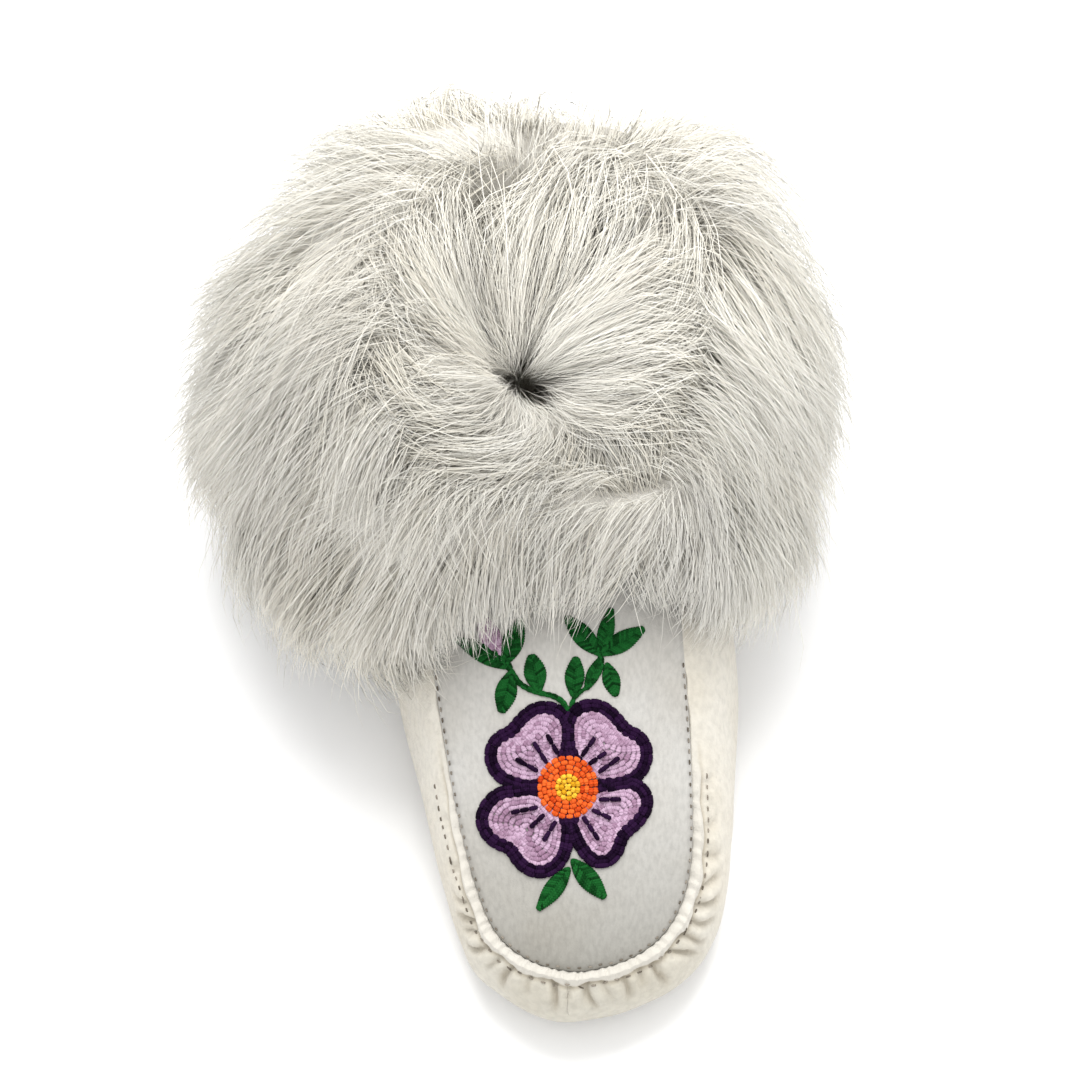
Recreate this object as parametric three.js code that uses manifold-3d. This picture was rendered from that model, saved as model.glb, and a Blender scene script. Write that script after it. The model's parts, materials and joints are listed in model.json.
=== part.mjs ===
// A right-foot moccasin slipper: a hide sole and sides in one piece, gathered at the toe onto a
// wool vamp, with a felt insole and a deep fur cuff round the collar.
// Millimetres, +Z up. The toe points along -Y, the outer (lateral) side of the foot is -X, and the
// origin lies on the floor under the middle of the sole.
import * as THREE from "three";
import { mergeVertices } from "three/addons/utils/BufferGeometryUtils.js";
import Module from "manifold-3d";

const wasm = await Module();
wasm.setup();

// Driving dimensions
const length = 250; // toe tip to the back of the heel, outside
const ballHalfWidth = 53.5; // widest half-breadth, at the instep
const collarHeight = 62; // top edge of the sides at the throat
const heelRise = 11; // how much higher the top edge is at the back of the heel
const toeHeight = 26; // seam height at the toe tip
const hideThickness = 2;
const vampThickness = 2.2;
const insoleThickness = 4;
const gap = 0.3; // clearance between neighbouring pieces
const toeSpring = 4; // lift of the sole at the toe tip
const springLength = 30; // the sole lifts over this distance from the tip
const cornerInset = 11; // rounding between sole and side, measured inwards
const bulgeHeight = 12; // height of the widest line of the side above the sole
const wallTurn = THREE.MathUtils.degToRad(68); // how far the side rolls over towards the vamp
const vampCrown = 0.22; // rise of the vamp over its half-width
const throatShare = 0.49; // the vamp ends here, as a share of the length
const seamRollWidth = 3.4; // raised roll where the gathered hide meets the vamp
const seamRollHeight = 1.5;
const seamRollEnd = 64; // the roll fades out here, in degrees round the toe
const toeFocus = 38; // centre of the toe's round, from the tip
const heelFocus = 36; // centre of the heel's round, from the back

// Cross-sections of the last, from toe tip to heel. share is the distance from the tip over the
// length, halfWidth a share of ballHalfWidth, and the other columns are millimetres. outer and
// inner are how far the top edge leans in over the foot on that side.
const sections = [
  { share: 0.0, centre: 2.5, halfWidth: 0.0, topHeight: toeHeight, outer: 9.5, inner: 9.5 },
  { share: 0.05, centre: 4.5, halfWidth: 0.557, topHeight: 28, outer: 9.0, inner: 10.5 },
  { share: 0.12, centre: 6.0, halfWidth: 0.735, topHeight: 32, outer: 8.0, inner: 12.0 },
  { share: 0.25, centre: 4.2, halfWidth: 0.856, topHeight: 43, outer: 7.5, inner: 14.5 },
  { share: 0.5, centre: -0.5, halfWidth: 1.0, topHeight: collarHeight, outer: 11.5, inner: 20.0 },
  { share: 0.75, centre: -1.0, halfWidth: 0.84, topHeight: collarHeight + 2, outer: 10.0, inner: 13.0 },
  { share: 0.92, centre: 0.0, halfWidth: 0.575, topHeight: collarHeight + 8, outer: 7.0, inner: 7.5 },
  { share: 1.0, centre: 0.0, halfWidth: 0.0, topHeight: collarHeight + heelRise, outer: 6.0, inner: 6.0 },
];

// Gathers of the hide round the toe, outer side first: where each fold starts, in degrees round
// the toe (0 at the tip, negative on the outer side), and how far it puffs out.
const gathers = [
  { start: -66, puff: 0.8 },
  { start: -57, puff: 1.5 },
  { start: -47, puff: 2.1 },
  { start: -36, puff: 2.6 },
  { start: -22, puff: 2.3 },
  { start: -9, puff: 2.7 },
  { start: 4, puff: 2.4 },
  { start: 16, puff: 2.2 },
  { start: 27, puff: 2.4 },
  { start: 37, puff: 2.2 },
  { start: 46, puff: 1.9 },
  { start: 55, puff: 1.4 },
  { start: 63, puff: 0.8 },
  { start: 71, puff: 0.0 },
];

// Collar line that the fur hangs from, seen from above, and the fur's sections round it. turn is
// in degrees from the toe side round the outer side; reach is outwards from the collar line,
// crest and hem are the top and bottom of the fur, sag is how far its outer end drops, and overhang
// is how far it closes in over the opening.
const collar = { at: 183, halfWidth: 36, halfLength: 60, squareness: 2.5 };
const furSections = [
  { turn: 0, reach: 13, crest: 100, hem: 50, sag: 4, overhang: 18 },
  { turn: 45, reach: 48, crest: 104, hem: 32, sag: 14, overhang: 12 },
  { turn: 90, reach: 72, crest: 109, hem: 30, sag: 18, overhang: 14 },
  { turn: 135, reach: 56, crest: 113, hem: 30, sag: 14, overhang: 12 },
  { turn: 180, reach: 27, crest: 118, hem: 30, sag: 8, overhang: 20 },
  { turn: 225, reach: 36, crest: 113, hem: 30, sag: 12, overhang: 12 },
  { turn: 270, reach: 38, crest: 109, hem: 30, sag: 16, overhang: 14 },
  { turn: 315, reach: 30, crest: 104, hem: 36, sag: 10, overhang: 12 },
];

const furFrontTrim = 0.4; // locks over the vamp are shorter by this share

// Locks of fur in tiers: place on the fur's section (90 on top, 0 outermost, in degrees), how many
// go round, their length and root radius, and how far they stand off the fur and hang down.
const lockTiers = [
  { place: 118, count: 12, long: 34, radius: 15, stand: 0.3, hang: 0.0 },
  { place: 80, count: 14, long: 38, radius: 15, stand: 0.35, hang: 0.05 },
  { place: 45, count: 16, long: 40, radius: 15, stand: 0.45, hang: 0.1 },
  { place: 12, count: 16, long: 34, radius: 14, stand: 0.6, hang: 0.1 },
  { place: -25, count: 13, long: 24, radius: 12, stand: 0.8, hang: 0.0 },
];

const materials = {
  hide: new THREE.MeshStandardMaterial({ color: "#efe8da", roughness: 0.9, metalness: 0 }),
  wool: new THREE.MeshStandardMaterial({ color: "#dfdcd4", roughness: 0.95, metalness: 0 }),
  felt: new THREE.MeshStandardMaterial({ color: "#d8d2c6", roughness: 0.95, metalness: 0 }),
  fur: new THREE.MeshStandardMaterial({ color: "#cfccc4", roughness: 0.85, metalness: 0 }),
};

const { lerp, degToRad, radToDeg, clamp, smoothstep } = THREE.MathUtils;

// Smooth curve through the columns of a table, by the angle that each row stands at.
function tableCurve(rows, columns, angleOf) {
  const angles = rows.map(angleOf);
  const values = rows.flatMap((row) => columns.map((name) => row[name]));
  const curve = new THREE.CubicInterpolant(angles, values, columns.length);
  return (angle) => {
    const found = curve.evaluate(angle);
    return Object.fromEntries(columns.map((name, i) => [name, found[i]]));
  };
}

// Stations are spaced as on an ellipse, so that toe and heel come out round: angle 0 is the toe
// tip and 180 degrees the back of the heel.
const stationAngle = (share) => Math.acos(1 - 2 * share);
const stationY = (angle) => (-length / 2) * Math.cos(angle);
const sectionAt = tableCurve(
  sections,
  ["centre", "halfWidth", "topHeight", "outer", "inner"],
  (row) => stationAngle(row.share),
);

const sides = { outer: -1, inner: 1 };

// Plan outline of the foot at its widest line.
function edgePoint(angle, side) {
  const { centre, halfWidth } = sectionAt(angle);
  return new THREE.Vector2(centre + side * halfWidth * ballHalfWidth, stationY(angle));
}

// Line along the middle of the sole, which the columns of the side fan out from.
function spinePoint(angle) {
  const first = toeFocus - length / 2;
  const last = length / 2 - heelFocus;
  const y = (first + last) / 2 - ((last - first) / 2) * Math.cos(angle);
  const { centre } = sectionAt(Math.acos((-2 * y) / length));
  return new THREE.Vector2(centre, y);
}

function springAt(y) {
  const along = clamp((y + length / 2) / springLength, 0, 1);
  return toeSpring * (1 - along) ** 2;
}

// How far the gathered hide puffs out at a place round the toe.
function gatherPuff(angle, side) {
  const place = side * radToDeg(angle);
  const i = gathers.findIndex((fold, n) => n > 0 && place < fold.start);
  if (i < 1 || place < gathers[0].start) return 0;
  const fold = gathers[i - 1];
  const across = (place - fold.start) / (gathers[i].start - fold.start);
  return fold.puff * Math.sin(Math.PI * across) ** 0.7;
}

// One column of the side, from the spine out along the sole, round the corner and up to the top
// edge, as points { inset, height } in the column's own upright plane.
const soleSteps = [0, 0.5, 0.85];
const cornerSteps = [0, 1 / 3, 2 / 3, 1];
const wallSteps = [0.3, 0.6, 0.85];
const rollSteps = [0, 1 / 3, 2 / 3, 1];
const insideRows = [0, 2, 3, 4, 5, 6, 8, 10, 13]; // the inside needs fewer of these points

function columnProfile(angle, side, { gathered = false, rolled = false } = {}) {
  const { topHeight, outer, inner } = sectionAt(angle);
  const topInset = side === sides.outer ? outer : inner;
  const width = edgePoint(angle, side).distanceTo(spinePoint(angle));
  const points = soleSteps.map((s) => ({ inset: lerp(width, cornerInset, s), height: 0, up: 0, roll: 0 }));
  for (const s of cornerSteps) {
    const turn = (s * Math.PI) / 2;
    points.push({
      inset: cornerInset * (1 - Math.sin(turn)),
      height: bulgeHeight * (1 - Math.cos(turn)),
      up: 0.12 * s,
      roll: 0,
    });
  }
  const wallLength = Math.hypot(topInset, topHeight - bulgeHeight);
  const rollStart = 1 - seamRollWidth / wallLength;
  const steps = [...wallSteps.map((s) => s * rollStart), ...rollSteps.map((s) => lerp(rollStart, 1, s))];
  for (const s of steps) {
    const turn = s * wallTurn;
    points.push({
      inset: (topInset * (1 - Math.cos(turn))) / (1 - Math.cos(wallTurn)),
      height: bulgeHeight + ((topHeight - bulgeHeight) * Math.sin(turn)) / Math.sin(wallTurn),
      up: lerp(0.12, 1, s),
      roll: Math.max(s - rollStart, 0) / (1 - rollStart),
    });
  }
  points.forEach((p, i) => {
    const before = points[Math.max(i - 1, 0)];
    const after = points[Math.min(i + 1, points.length - 1)];
    const run = Math.hypot(after.inset - before.inset, after.height - before.height);
    p.inX = (after.height - before.height) / run;
    p.inZ = (before.inset - after.inset) / run;
  });
  const puff = gathered ? gatherPuff(angle, side) : 0;
  const fade = 1 - smoothstep(radToDeg(angle), seamRollEnd - 14, seamRollEnd);
  const rise = rolled ? seamRollHeight * fade : 0;
  return points.map((p) => {
    const out = rise * Math.sin(Math.PI * p.roll) + puff * p.up * (1 - p.roll);
    return { ...p, inset: p.inset - out * p.inX, height: p.height - out * p.inZ };
  });
}

// A column's point in space, moved inwards through the wall by depth.
function columnPoint(angle, side, p, depth) {
  const edge = edgePoint(angle, side);
  const inward = spinePoint(angle).sub(edge).normalize();
  const plan = edge.addScaledVector(inward, p.inset + depth * p.inX);
  return new THREE.Vector3(plan.x, plan.y, p.height + depth * p.inZ + springAt(plan.y));
}

// Columns round the foot: close together at the gathered toe, wider apart along the sides.
const toeColumnEnd = 74;
const toeColumnStep = 2.5;
const sideColumnStep = 6.6;
function columnAngles() {
  const angles = [];
  for (let a = 0; a < toeColumnEnd; a += toeColumnStep) angles.push(degToRad(a));
  const rest = Math.round((180 - toeColumnEnd) / sideColumnStep);
  for (let i = 0; i <= rest; i++) angles.push(degToRad(lerp(toeColumnEnd, 180, i / rest)));
  return angles;
}
const angles = columnAngles();
const roundTheFoot = [
  ...angles.map((angle) => ({ angle, side: sides.inner })),
  ...angles.slice(1, -1).reverse().map((angle) => ({ angle, side: sides.outer })),
];

// Closed surface over rows of points. Every row runs once round, first and last rows are pinched
// shut where their points coincide, and a ring joins its last row to its first.
function skin(rows, { ring = false } = {}) {
  const across = rows[0].length;
  const positions = rows.flat().flatMap((p) => p.toArray());
  const index = [];
  const last = ring ? rows.length : rows.length - 1;
  for (let r = 0; r < last; r++) {
    const next = (r + 1) % rows.length;
    for (let c = 0; c < across; c++) {
      const d = (c + 1) % across;
      const [p, q, s, t] = [r * across + c, r * across + d, next * across + c, next * across + d];
      index.push(p, q, s, q, t, s);
    }
  }
  const geometry = new THREE.BufferGeometry();
  geometry.setAttribute("position", new THREE.Float32BufferAttribute(positions, 3));
  geometry.setIndex(index);
  const welded = mergeVertices(geometry, 1e-3);
  const kept = [];
  for (let i = 0; i < welded.index.count; i += 3) {
    const corner = [0, 1, 2].map((k) => welded.index.getX(i + k));
    if (new Set(corner).size === 3) kept.push(...corner);
  }
  return welded.setIndex(kept);
}

function solidOf(geometry) {
  const mesh = new wasm.Mesh({
    numProp: 3,
    vertProperties: geometry.getAttribute("position").array,
    triVerts: new Uint32Array(geometry.index.array),
  });
  return new wasm.Manifold(mesh);
}

function geometryOf(solid) {
  const { vertProperties, triVerts } = solid.getMesh();
  const geometry = new THREE.BufferGeometry();
  geometry.setAttribute("position", new THREE.BufferAttribute(vertProperties, 3));
  geometry.setIndex(new THREE.BufferAttribute(triVerts, 1));
  return geometry;
}

// Hide sole and sides: up the outside of every column, over the top edge and down the inside.
function soleAndSides() {
  const columns = roundTheFoot.map(({ angle, side }) => {
    const outside = columnProfile(angle, side, { gathered: true, rolled: true }).map((p) =>
      columnPoint(angle, side, p, 0),
    );
    const inside = columnProfile(angle, side, { gathered: true })
      .filter((_, i) => insideRows.includes(i))
      .map((p) => columnPoint(angle, side, p, hideThickness));
    return [...outside, ...inside.reverse()];
  });
  const rows = columns[0].map((_, r) => columns.map((column) => column[r]));
  return skin(rows);
}

// Top surface between the two top edges at one station, from the outer side to the inner one.
// lead carries the edges on past the top of the side, and depth goes down through the sheet.
function crossing(angle, steps, lead, depth) {
  const [from, to] = [sides.outer, sides.inner].map((side) => {
    const top = columnProfile(angle, side).at(-1);
    const ahead = { ...top, inset: top.inset - lead * top.inZ, height: top.height + lead * top.inX };
    return columnPoint(angle, side, ahead, depth);
  });
  const crown = (vampCrown * from.distanceTo(to)) / 2;
  return Array.from({ length: steps + 1 }, (_, i) => {
    const point = from.clone().lerp(to, i / steps);
    point.z += 4 * crown * (i / steps) * (1 - i / steps);
    return point;
  });
}

// Wool vamp: a crowned tongue between the top edges, from the toe seam back to the throat.
const vampSteps = 8;
function vamp() {
  const throat = stationAngle(throatShare);
  const stations = [...angles.filter((a) => a < throat - 0.03), throat];
  const rows = stations.map((angle) => [
    ...crossing(angle, vampSteps, gap, 0),
    ...crossing(angle, vampSteps, gap, vampThickness).reverse(),
  ]);
  const end = rows.at(-1);
  const pinched = end.map((p, i) => p.clone().lerp(end[end.length - 1 - i], 0.5));
  return skin([...rows, pinched]);
}

// Felt insole: a flat sheet on the sole, its edge rounded to the corner of the hide.
function insole() {
  const low = hideThickness + gap;
  const high = low + insoleThickness;
  const cornerAt = (height) => {
    const turn = Math.acos(1 - (height - hideThickness) / (bulgeHeight - hideThickness));
    return hideThickness + (cornerInset - hideThickness) * (1 - Math.sin(turn)) + gap;
  };
  const edge = [
    { height: low, inset: cornerAt(low) + 5 * gap },
    { height: lerp(low, high, 0.4), inset: cornerAt(lerp(low, high, 0.4)) + 3 * gap },
    { height: high, inset: cornerAt(high) + 3 * gap },
  ];
  const stations = roundTheFoot.filter((_, i) => i % 2 === 0);
  const columns = stations.map(({ angle, side }) => {
    const width = edgePoint(angle, side).distanceTo(spinePoint(angle));
    const flat = (height) => ({ inset: width, height, inX: 0, inZ: 0 });
    const points = [flat(low), ...edge.map((p) => ({ ...p, inX: 0, inZ: 0 })), flat(high)];
    return points.map((p) => columnPoint(angle, side, p, 0));
  });
  return skin(columns[0].map((_, r) => columns.map((column) => column[r])));
}

// The closed outside of the last with the sides and the vamp's surface carried over the collar,
// grown outwards all over, to cut the fur by.
function lastForm(grow) {
  const columns = roundTheFoot.map(({ angle, side }) => {
    const wall = columnProfile(angle, side, { rolled: true }).map((p) => columnPoint(angle, side, p, -grow));
    const lid = crossing(angle, vampSteps, 0, -grow - gap);
    const half = side === sides.inner ? lid.reverse() : lid;
    return [...wall, ...half.slice(1, vampSteps / 2 + 1)];
  });
  return skin(columns[0].map((_, r) => columns.map((column) => column[r])));
}

// Fur round the collar
const furAt = tableCurve(
  [...furSections, { ...furSections[0], turn: 360 }],
  ["reach", "crest", "hem", "sag", "overhang"],
  (row) => degToRad(row.turn),
);

// Collar line at a turn, with the way outwards from it.
function collarPoint(turn) {
  const power = 2 / collar.squareness;
  const bend = (value) => Math.sign(value) * Math.abs(value) ** power;
  const x = -collar.halfWidth * bend(Math.sin(turn));
  const y = collar.at - length / 2 - collar.halfLength * bend(Math.cos(turn));
  const outward = new THREE.Vector3(-Math.sin(turn), -Math.cos(turn), 0);
  return { point: new THREE.Vector3(x, y, 0), outward };
}

// Point on the fur's section: place 90 degrees on its crest, 0 at its outer end.
function furPoint(turn, place) {
  const { reach, crest, hem, sag, overhang } = furAt(((turn % (2 * Math.PI)) + 2 * Math.PI) % (2 * Math.PI));
  const { point, outward } = collarPoint(turn);
  const middle = (reach - overhang) / 2;
  const out = middle + ((reach + overhang) / 2) * Math.cos(place);
  const high = (crest + hem) / 2 + ((crest - hem) / 2) * Math.sin(place);
  const drop = sag * Math.max(out / reach, 0) ** 2;
  return point.addScaledVector(outward, out).setZ(Math.max(high - drop, hem / 2));
}

// Evenly spaced turns, drawn together a little at the wide sides of the fur.
function spreadTurn(share) {
  const turn = 2 * Math.PI * share;
  return turn + 0.14 * Math.sin(2 * turn);
}

const furTurns = 34;
const furPlaces = 12;
function furRing() {
  const rows = Array.from({ length: furTurns }, (_, i) =>
    Array.from({ length: furPlaces }, (_, k) =>
      furPoint(spreadTurn(i / furTurns), (2 * Math.PI * k) / furPlaces),
    ),
  );
  return skin(rows, { ring: true });
}

// One lock of fur: a flat soft horn rooted under the fur's surface, combed outwards along it.
const lockSides = 5;
const lockRings = [0.05, 0.45, 0.8];
function lock(turn, place, { long, radius, stand, hang }) {
  const foot = furPoint(turn, place);
  const ahead = furPoint(turn, place - 0.1).sub(foot).normalize();
  const round = furPoint(turn + 0.05, place).sub(foot).normalize();
  const normal = new THREE.Vector3().crossVectors(round, ahead).normalize();
  const along = (s) =>
    foot
      .clone()
      .addScaledVector(normal, -0.5 * radius + long * stand * s * (1 - 0.25 * s))
      .addScaledVector(ahead, long * (s - 0.15))
      .add(new THREE.Vector3(0, 0, -hang * long * s * s));
  const ringAt = (s) =>
    Array.from({ length: lockSides }, (_, i) => {
      const spin = (2 * Math.PI * i) / lockSides;
      const wide = radius * (1 - s ** 2) + 0.5;
      return along(s)
        .addScaledVector(round, wide * Math.cos(spin))
        .addScaledVector(normal, -0.6 * wide * Math.sin(spin));
    });
  const point = (s) => Array.from({ length: lockSides }, () => along(s));
  return skin([point(0), ...lockRings.map(ringAt), point(1)]);
}

// The largest surface of a geometry that hangs together by its edges, so that pockets shut in
// between locks are filled.
function outerShell(geometry) {
  const index = geometry.index.array;
  const faces = index.length / 3;
  const parent = Array.from({ length: faces }, (_, f) => f);
  const rootOf = (f) => {
    while (parent[f] !== f) f = parent[f] = parent[parent[f]];
    return f;
  };
  const faceAtEdge = new Map();
  for (let i = 0; i < index.length; i++) {
    const face = Math.floor(i / 3);
    const next = index[3 * face + ((i + 1) % 3)];
    const edge = [index[i], next].sort((a, b) => a - b).join();
    if (faceAtEdge.has(edge)) parent[rootOf(face)] = rootOf(faceAtEdge.get(edge));
    faceAtEdge.set(edge, face);
  }
  const shells = new Map();
  for (let f = 0; f < faces; f++) {
    const root = rootOf(f);
    if (!shells.has(root)) shells.set(root, []);
    shells.get(root).push(...index.slice(3 * f, 3 * f + 3));
  }
  const largest = [...shells.values()].sort((a, b) => b.length - a.length)[0];
  return geometry.setIndex(largest);
}

// A steady spread of values between -1 and 1, so that locks differ without being random.
const uneven = (n) => Math.sin(n * 12.9898 + 4.1) * Math.cos(n * 4.1414);

function furCuff() {
  let fur = solidOf(furRing());
  lockTiers.forEach((tier, t) => {
    for (let i = 0; i < tier.count; i++) {
      const n = i + 31 * t;
      const turn = spreadTurn((i + 0.5 * (t % 2) + 0.25 * uneven(n)) / tier.count);
      const place = degToRad(tier.place + 9 * uneven(n + 7));
      const short = furFrontTrim * smoothstep(Math.cos(turn), 0.6, 0.95);
      const long = tier.long * (1 + 0.22 * uneven(n + 3)) * (1 - short);
      fur = fur.add(solidOf(lock(turn, place, { ...tier, long })));
    }
  });
  return outerShell(geometryOf(fur.subtract(solidOf(lastForm(gap + 0.2)))));
}

const slipper = new THREE.Group();
function addPiece(name, geometry, material) {
  geometry.computeVertexNormals();
  const mesh = new THREE.Mesh(geometry, material);
  mesh.name = name;
  slipper.add(mesh);
}
addPiece("sole_and_sides", soleAndSides(), materials.hide);
addPiece("vamp", vamp(), materials.wool);
addPiece("insole", insole(), materials.felt);
addPiece("fur_cuff", furCuff(), materials.fur);

export default slipper;
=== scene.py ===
import bpy
import json
import math
import numpy as np
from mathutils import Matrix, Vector
from mathutils.bvhtree import BVHTree

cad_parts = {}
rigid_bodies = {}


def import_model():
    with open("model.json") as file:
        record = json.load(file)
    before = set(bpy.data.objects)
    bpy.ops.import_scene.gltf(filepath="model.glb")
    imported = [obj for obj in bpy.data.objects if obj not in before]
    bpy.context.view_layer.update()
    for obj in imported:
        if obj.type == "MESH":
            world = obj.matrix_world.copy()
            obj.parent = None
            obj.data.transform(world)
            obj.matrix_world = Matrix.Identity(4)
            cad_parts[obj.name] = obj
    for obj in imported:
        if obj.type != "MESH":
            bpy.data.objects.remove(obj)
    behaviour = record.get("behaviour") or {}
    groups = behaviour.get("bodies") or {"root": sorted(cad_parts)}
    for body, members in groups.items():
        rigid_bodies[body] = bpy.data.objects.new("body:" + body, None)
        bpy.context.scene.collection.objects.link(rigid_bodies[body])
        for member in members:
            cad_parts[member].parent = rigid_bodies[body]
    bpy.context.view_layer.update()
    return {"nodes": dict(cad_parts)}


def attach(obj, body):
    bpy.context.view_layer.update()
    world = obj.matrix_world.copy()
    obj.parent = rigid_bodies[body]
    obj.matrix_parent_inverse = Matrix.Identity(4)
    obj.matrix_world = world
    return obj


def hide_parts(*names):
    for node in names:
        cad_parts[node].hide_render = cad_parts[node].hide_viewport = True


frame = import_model()
nodes = frame["nodes"]
mm = 0.001
print("frame loaded:", ", ".join(sorted(nodes)))

# how the photo looks at the slipper: toe towards the camera, from well above
photoView = {"elevation": 60, "pixelsPerMm": 2.46, "toeRow": 918, "middleColumn": 415}
tilt = math.radians(photoView["elevation"])
viewUp = np.array([0, math.sin(tilt), math.cos(tilt)])
toCamera = np.array([0, -math.cos(tilt), math.sin(tilt)])


# small helpers

def setMode(mode):
    bpy.ops.object.mode_set(mode=mode)


def deselectAll():
    if bpy.context.object and bpy.context.object.mode != "OBJECT":
        setMode("OBJECT")
    bpy.ops.object.select_all(action="DESELECT")


def pick(piece):
    deselectAll()
    piece.select_set(True)
    bpy.context.view_layer.objects.active = piece


def copyNode(node, name):
    pick(nodes[node])
    bpy.ops.object.duplicate()
    piece = bpy.context.object
    bpy.ops.object.parent_clear(type="CLEAR_KEEP_TRANSFORM")
    piece.name = piece.data.name = name
    for tag in list(piece.keys()):
        del piece[tag]
    setMode("EDIT")
    bpy.ops.mesh.select_all(action="SELECT")
    bpy.ops.mesh.remove_doubles(threshold=2e-5)
    bpy.ops.mesh.customdata_custom_splitnormals_clear()
    setMode("OBJECT")
    return piece


def applyModifier(piece, kind, **settings):
    pick(piece)
    modifier = piece.modifiers.new(kind.title(), kind)
    for key, value in settings.items():
        setattr(modifier, key, value)
    bpy.ops.object.modifier_apply(modifier=modifier.name)


def softenCopy(piece, levels, crease):
    # back to quads, rims held by a crease, then rounded off
    pick(piece)
    setMode("EDIT")
    bpy.ops.mesh.select_all(action="SELECT")
    bpy.ops.mesh.tris_convert_to_quads(face_threshold=math.radians(60), shape_threshold=math.radians(80))
    bpy.ops.mesh.select_mode(type="EDGE")
    bpy.ops.mesh.select_all(action="DESELECT")
    bpy.ops.mesh.edges_select_sharp(sharpness=math.radians(55))
    bpy.ops.transform.edge_crease(value=crease)
    setMode("OBJECT")
    applyModifier(piece, "SUBSURF", levels=levels, render_levels=levels)
    bpy.ops.object.shade_smooth()


def getPoints(piece):
    points = np.empty(len(piece.data.vertices) * 3, np.float32)
    piece.data.vertices.foreach_get("co", points)
    return points.reshape(-1, 3).astype(float)


def setPoints(piece, points):
    piece.data.vertices.foreach_set("co", points.astype(np.float32).ravel())
    piece.data.update()


def keepValue(piece, name, values):
    attribute = piece.data.attributes.new(name, "FLOAT", "POINT")
    attribute.data.foreach_set("value", values.astype(np.float32))


def putIn(name, data):
    thing = bpy.data.objects.new(name, data)
    bpy.context.scene.collection.objects.link(thing)
    return thing


def tubeFaces(sides, rings, first):
    # faces along a tube, from the ring that starts at point number first to the point at its end
    pattern = []
    for r in range(rings):
        for k in range(sides):
            a, b = first + r * sides + k, first + r * sides + (k + 1) % sides
            if r < rings - 1:
                pattern += [(a, b, a + sides), (b, b + sides, a + sides)]
            else:
                pattern.append((a, b, first + rings * sides))
    return pattern


def manyPiece(name, points, pattern, tone, along):
    # many small shapes of one pattern in one mesh, each with its own tone
    count, each = points.shape[:2]
    corners = (np.array(pattern)[None] + each * np.arange(count)[:, None, None]).ravel()
    uv = np.stack([np.repeat(tone, each), along.ravel()], 1)
    mesh = bpy.data.meshes.new(name)
    mesh.vertices.add(count * each)
    mesh.vertices.foreach_set("co", points.astype(np.float32).ravel())
    mesh.loops.add(len(corners))
    mesh.loops.foreach_set("vertex_index", corners.astype(np.int32))
    mesh.polygons.add(len(corners) // 3)
    mesh.polygons.foreach_set("loop_start", np.arange(0, len(corners), 3, dtype=np.int32))
    mesh.polygons.foreach_set("use_smooth", np.ones(len(corners) // 3, bool))
    layer = mesh.uv_layers.new(name="lay")
    layer.data.foreach_set("uv", uv[corners].astype(np.float32).ravel())
    mesh.update(calc_edges=True)
    return putIn(name, mesh)


def dress(piece, material, node=None):
    # the piece's own look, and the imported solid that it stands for
    piece.data.materials.clear()
    piece.data.materials.append(material)
    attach(piece, "root")
    if node:
        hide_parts(node)
    return piece


def surfaceTree(piece):
    mesh = piece.data
    return BVHTree.FromPolygons([v.co for v in mesh.vertices], [p.vertices for p in mesh.polygons])


def fall(tree, x, y):
    # what a point high over the slipper meets straight below
    return tree.ray_cast(Vector((x, y, 0.2)), Vector((0, 0, -1)))


def smoothStep(value, low, high):
    t = np.clip((value - low) / (high - low), 0, 1)
    return t * t * (3 - 2 * t)


def unit(ways):
    return ways / np.maximum(np.linalg.norm(ways, axis=-1, keepdims=True), 1e-9)


def runLengths(line):
    # how far along the line each of its points lies
    return np.concatenate([[0], np.cumsum(np.linalg.norm(np.diff(line, axis=0), axis=1))])


def tableCurve(xs, ys, x):
    # smooth curve through a short table
    xs, ys = np.asarray(xs, float), np.asarray(ys, float)
    slopes = np.gradient(ys, xs)
    i = np.clip(np.searchsorted(xs, x) - 1, 0, len(xs) - 2)
    step = xs[i + 1] - xs[i]
    t = (x - xs[i]) / step
    a, b = 2 * t**3 - 3 * t**2 + 1, t**3 - 2 * t**2 + t
    c, d = -2 * t**3 + 3 * t**2, t**3 - t**2
    return a * ys[i] + b * step * slopes[i] + c * ys[i + 1] + d * step * slopes[i + 1]


def splinePoint(p0, p1, p2, p3, t):
    # on a smooth curve through four points, between the middle two
    bend = (2 * p0 - 5 * p1 + 4 * p2 - p3) * t**2 + (3 * p1 - p0 - 3 * p2 + p3) * t**3
    return 0.5 * (2 * p1 + (p2 - p0) * t + bend)


def evenSteps(line, step, least):
    # the line again in even steps
    lengths = runLengths(line)
    at = np.linspace(0, lengths[-1], max(least, round(lengths[-1] / step)) + 1)
    return np.stack([np.interp(at, lengths, line[:, k]) for k in (0, 1)], 1)


# materials

def newMaterial(name, roughness, sheen=0.0, specular=0.3):
    material = bpy.data.materials.new(name)
    material.use_nodes = True
    tree = material.node_tree
    shader = tree.nodes["Principled BSDF"]
    shader.inputs["Roughness"].default_value = roughness
    shader.inputs["Sheen Weight"].default_value = sheen
    shader.inputs["Sheen Roughness"].default_value = 0.5
    shader.inputs["Specular IOR Level"].default_value = specular
    return material, tree, shader


def feed(tree, value, socket):
    if isinstance(value, bpy.types.NodeSocket):
        tree.links.new(value, socket)
    else:
        socket.default_value = value


def addNode(tree, kind, settings=None, **inputs):
    node = tree.nodes.new(kind)
    for key, value in (settings or {}).items():
        setattr(node, key, value)
    for key, value in inputs.items():
        numbered = key[0] == "i" and key[1:].isdigit()
        feed(tree, value, node.inputs[int(key[1:]) if numbered else key])
    return node


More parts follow.
